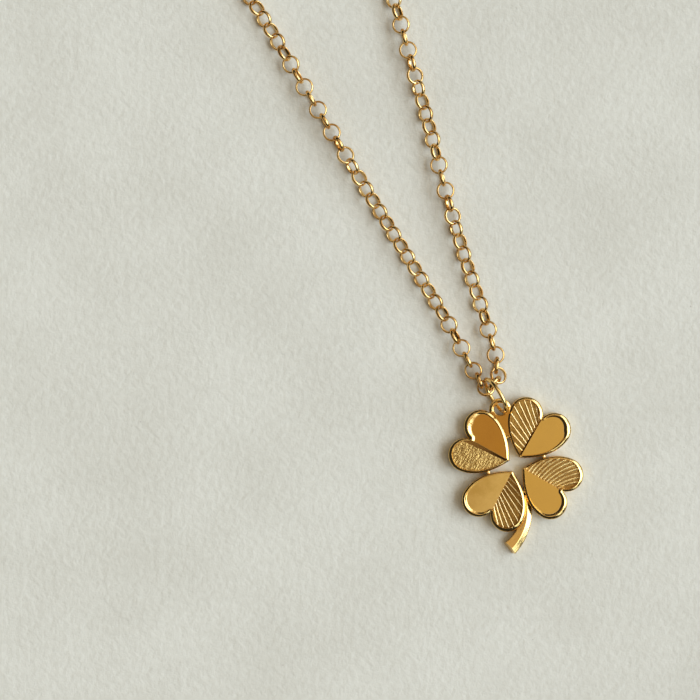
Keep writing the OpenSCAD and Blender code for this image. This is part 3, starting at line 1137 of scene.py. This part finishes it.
def ring_frames(node: str) -> tuple[Array, Array]:
    """Finds where the rings of a CAD node lie.

    Each loose shell gets the lowest number of its points, passed on along its triangles until nothing
    changes. A ring's centre is the middle of its box, and its axis is the way its points spread least.

    Args:
        node: name of the node.

    Returns:
        Centres in millimetres and unit axes, one row for each ring.
    """
    mesh = next(o for o in bpy.data.objects if o.name == node).data
    points = np.empty(len(mesh.vertices) * 3)
    mesh.vertices.foreach_get("co", points)
    mesh.calc_loop_triangles()
    triangles = np.empty(len(mesh.loop_triangles) * 3, np.int32)
    mesh.loop_triangles.foreach_get("vertices", triangles)
    points, _, same = Shell.welded(points.reshape(-1, 3) / MM)
    triangles = same[triangles].reshape(-1, 3)
    label = np.arange(len(points))
    while True:
        new = label.copy()
        np.minimum.at(new, triangles.ravel(), np.repeat(label[triangles].min(axis=1), 3))
        new = new[new]
        if (new == label).all():
            break
        label = new
    order = np.argsort(label, kind="stable")
    starts = np.flatnonzero(np.diff(label[order], prepend=-1))
    points = points[order]
    centres = (np.minimum.reduceat(points, starts) + np.maximum.reduceat(points, starts)) / 2
    counts = np.diff(np.append(starts, len(points)))
    off = points - np.repeat(centres, counts, axis=0)
    spread = np.add.reduceat(off[:, :, None] * off[:, None, :], starts, axis=0)
    return centres, np.linalg.eigh(spread)[1][:, :, 0]


def cage_growth(count: int) -> float:
    """How many times wider than its circle the cage of a subdivided ring of count points has to be."""
    return 3 / (2 + math.cos(2 * math.pi / count))


def wire(diameter: float, sides: int = 12) -> Array:
    """Gives the cage of a round wire's section, as distances outwards and along the ring's axis."""
    return diameter / 2 * cage_growth(sides) * polygon(sides)


@dataclass
class Rings:
    """Round links or rings: a section carried round a circle, at given centres and axes.

    A link's section is flat inside, has slanted sides and is domed outside.
    """

    radius: float
    section: Array = field(default_factory=lambda: np.array([
        (-0.13, -0.2), (-0.08, -0.262), (0.1, -0.21), (0.145, 0), (0.1, 0.21), (-0.08, 0.262), (-0.13, 0.2)]))
    around: int = 12
    upright: float = 0.9
    sharp: float = 180

    def build(self, name: str, node: str, finish: Material) -> Piece:
        """Makes all rings of a node as one mesh, smoothed by one level of subdivision.

        The point at angle a and section point (p, q) is centre + (R + p)(u cos a + v sin a) + q n, with
        u square to the axis n and to Z, or to X where the axis is near upright.

        Args:
            name: name of the piece.
            node: CAD node whose rings it stands for.
            finish: its material.

        Returns:
            The rings' object.
        """
        centres, axes = ring_frames(node)
        guide = np.where(np.abs(axes[:, 2:]) > self.upright, [[1.0, 0.0, 0.0]], [[0.0, 0.0, 1.0]])
        u = unit(np.cross(axes, guide))
        bases = np.stack([u, np.cross(axes, u), axes], axis=1)
        ring = spun((self.radius + self.section[:, 0]) * cage_growth(self.around), self.section[:, 1],
                    self.around)
        shell = Shell()
        for centre, basis in zip(centres, bases):
            shell.add(centre + ring @ basis, ring=True)
        piece = shell.build(name, [finish], self.sharp)
        smooth = piece.modifiers.new("rounding", "SUBSURF")
        smooth.levels = smooth.render_levels = 1
        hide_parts(node)
        LOG.info("%s: %d rings", name, len(centres))
        return piece


@dataclass
class Clasp:
    """Plain barrel with domed ends, a neck and a flat round eye at each end."""

    heading: float = 192.0
    span: float = 9.0
    barrel_l: float = 5.4
    barrel_d: float = 2.4
    corner: float = 0.35
    corner_steps: int = 7
    neck_share: float = 0.8
    neck_step: float = 0.01
    wire: float = 0.36
    link_hole_r: float = 0.9
    barrel_sides: int = 40
    eye_steps: int = 36
    wire_sides: int = 12

    def build(self, finish: Material) -> Piece:
        """Makes the clasp: a profile turned about the barrel's axis, and two rings.

        Args:
            finish: its material.

        Returns:
            The clasp's object.
        """
        place = Place(self.heading, np.mean(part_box("clasp"), axis=0) / MM)
        wire_r, neck_r = self.wire / 2, self.neck_share * self.wire
        eye_r = self.link_hole_r + wire_r
        half, r = self.barrel_l / 2 - self.corner, self.barrel_d / 2 - self.corner
        corner = self.corner * circle(ramp(0, 90, self.corner_steps))
        out = np.concatenate([[0.0], half + corner[:, 1], [
            half + self.corner + self.neck_step, self.span / 2 - eye_r + wire_r]])
        radial = np.concatenate([[r + self.corner], r + corner[:, 0], [neck_r, neck_r]])
        barrel = spun(np.append(radial[:0:-1], radial), np.append(-out[:0:-1], out), self.barrel_sides)
        shell = Shell()
        shell.add(place.put(barrel.swapaxes(0, 1)[..., [2, 0, 1]]))
        section = wire_r * polygon(self.wire_sides)
        eye = spun(eye_r + section[:, 0], section[:, 1], self.eye_steps)
        for side in (-1, 1):
            shell.add(place.put(eye + [side * self.span / 2, 0, 0]), ring=True)
        piece = shell.build("clasp_barrel", [finish])
        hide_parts("clasp")
        return piece


@dataclass(frozen=True)
class Sun:
    """A broad, far light, tilted from the zenith towards a heading from +X, all in degrees.

    Its strength is pi x radiance x sin^2(spread / 2).
    """

    name: str
    tilt: float
    heading: float
    spread: float
    radiance: float
    colour: Colour

    def build(self) -> None:
        """Adds the light."""
        data = bpy.data.lights.new(self.name, "SUN")
        data.angle = math.radians(self.spread)
        data.energy = math.pi * self.radiance * math.sin(data.angle / 2) ** 2
        data.color = self.colour
        lamp = linked(self.name, data)
        lamp.rotation_euler = (math.radians(self.tilt), 0, math.radians(self.heading + 90))


@dataclass
class Studio:
    """Pale floor, soft lights, and a camera that looks straight down."""

    aim_from_ring: Pair = (-18.013, 5.614)
    view_width: float = 87.5
    lens: float = 100.0
    sensor: float = 36.0
    clip: Pair = (0.01, 20)
    floor_half: float = 2500.0
    sky: Colour = (0.9, 0.86, 0.8)
    sky_strength: float = 0.04
    suns: tuple[Sun, ...] = (
        Sun("key", 52, -2, 46, 5.3, (0.74, 0.86, 1.0)),
        Sun("far", 60, 38, 28, 3.0, (0.74, 0.86, 1.0)),
        Sun("side", 54, -46, 24, 3.0, (0.72, 0.86, 1.0)),
        Sun("overhead", 16, 35, 96, 0.64, (1.0, 0.81, 0.57)),
    )

    def floor(self) -> None:
        """Makes the floor, a flat sheet under the whole necklace."""
        h = self.floor_half * MM
        mesh = bpy.data.meshes.new("floor")
        mesh.from_pydata([(-h, -h, 0), (h, -h, 0), (h, h, 0), (-h, h, 0)], [], [(0, 1, 2, 3)])
        mesh.materials.append(PaperFinish().build())
        sheet = linked("floor", mesh)

    def sight(self) -> None:
        """Sets up the camera, which stands beside the jump ring in plan."""
        aim = np.mean(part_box("jump_ring"), axis=0)[:2] + np.array(self.aim_from_ring) * MM
        data = bpy.data.cameras.new("camera")
        data.lens, data.sensor_width = self.lens, self.sensor
        data.clip_start, data.clip_end = self.clip
        camera = linked("camera", data)
        camera.location = (*aim, self.view_width * self.lens / self.sensor * MM)
        bpy.context.scene.camera = camera

    def build(self) -> None:
        """Sets up the floor, the lights, the world and the camera."""
        scene = bpy.context.scene
        self.floor()
        for sun in self.suns:
            sun.build()
        scene.world = bpy.data.worlds.new("studio")
        scene.world.use_nodes = True
        sky = scene.world.node_tree.nodes["Background"]
        sky.inputs["Color"].default_value = (*self.sky, 1)
        sky.inputs["Strength"].default_value = self.sky_strength
        self.sight()
        scene.view_settings.view_transform = "Standard"
        scene.view_settings.look = "None"


def main() -> None:
    """Builds the scene piece by piece."""
    logging.basicConfig(level=logging.INFO, format="%(name)s %(message)s")
    Studio().build()
    LOG.info("studio ready")
    pieces = Clover().build()
    ring_gold = GoldFinish("ring_gold_polished").build()
    chain_gold = GoldFinish("chain_gold_polished", tone=(1.0, 0.72, 0.31), deep=(0.54, 0.27, 0.065),
                            rough=0.05).build()
    jump_ring = Rings(radius=2.3, section=wire(0.5), around=40).build("ring_wire", "jump_ring", ring_gold)
    clasp = Clasp().build(ring_gold)
    pieces += [jump_ring, clasp]
    for node in ("chain_right", "chain_left"):
        strand = Rings(radius=1.018).build(node + "_links", node, chain_gold)
        pieces.append(strand)
    for piece in pieces:
        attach(piece, "root")
        LOG.info("%s: %d faces", piece.name, len(piece.data.polygons))


if __name__ == "__main__":
    main()
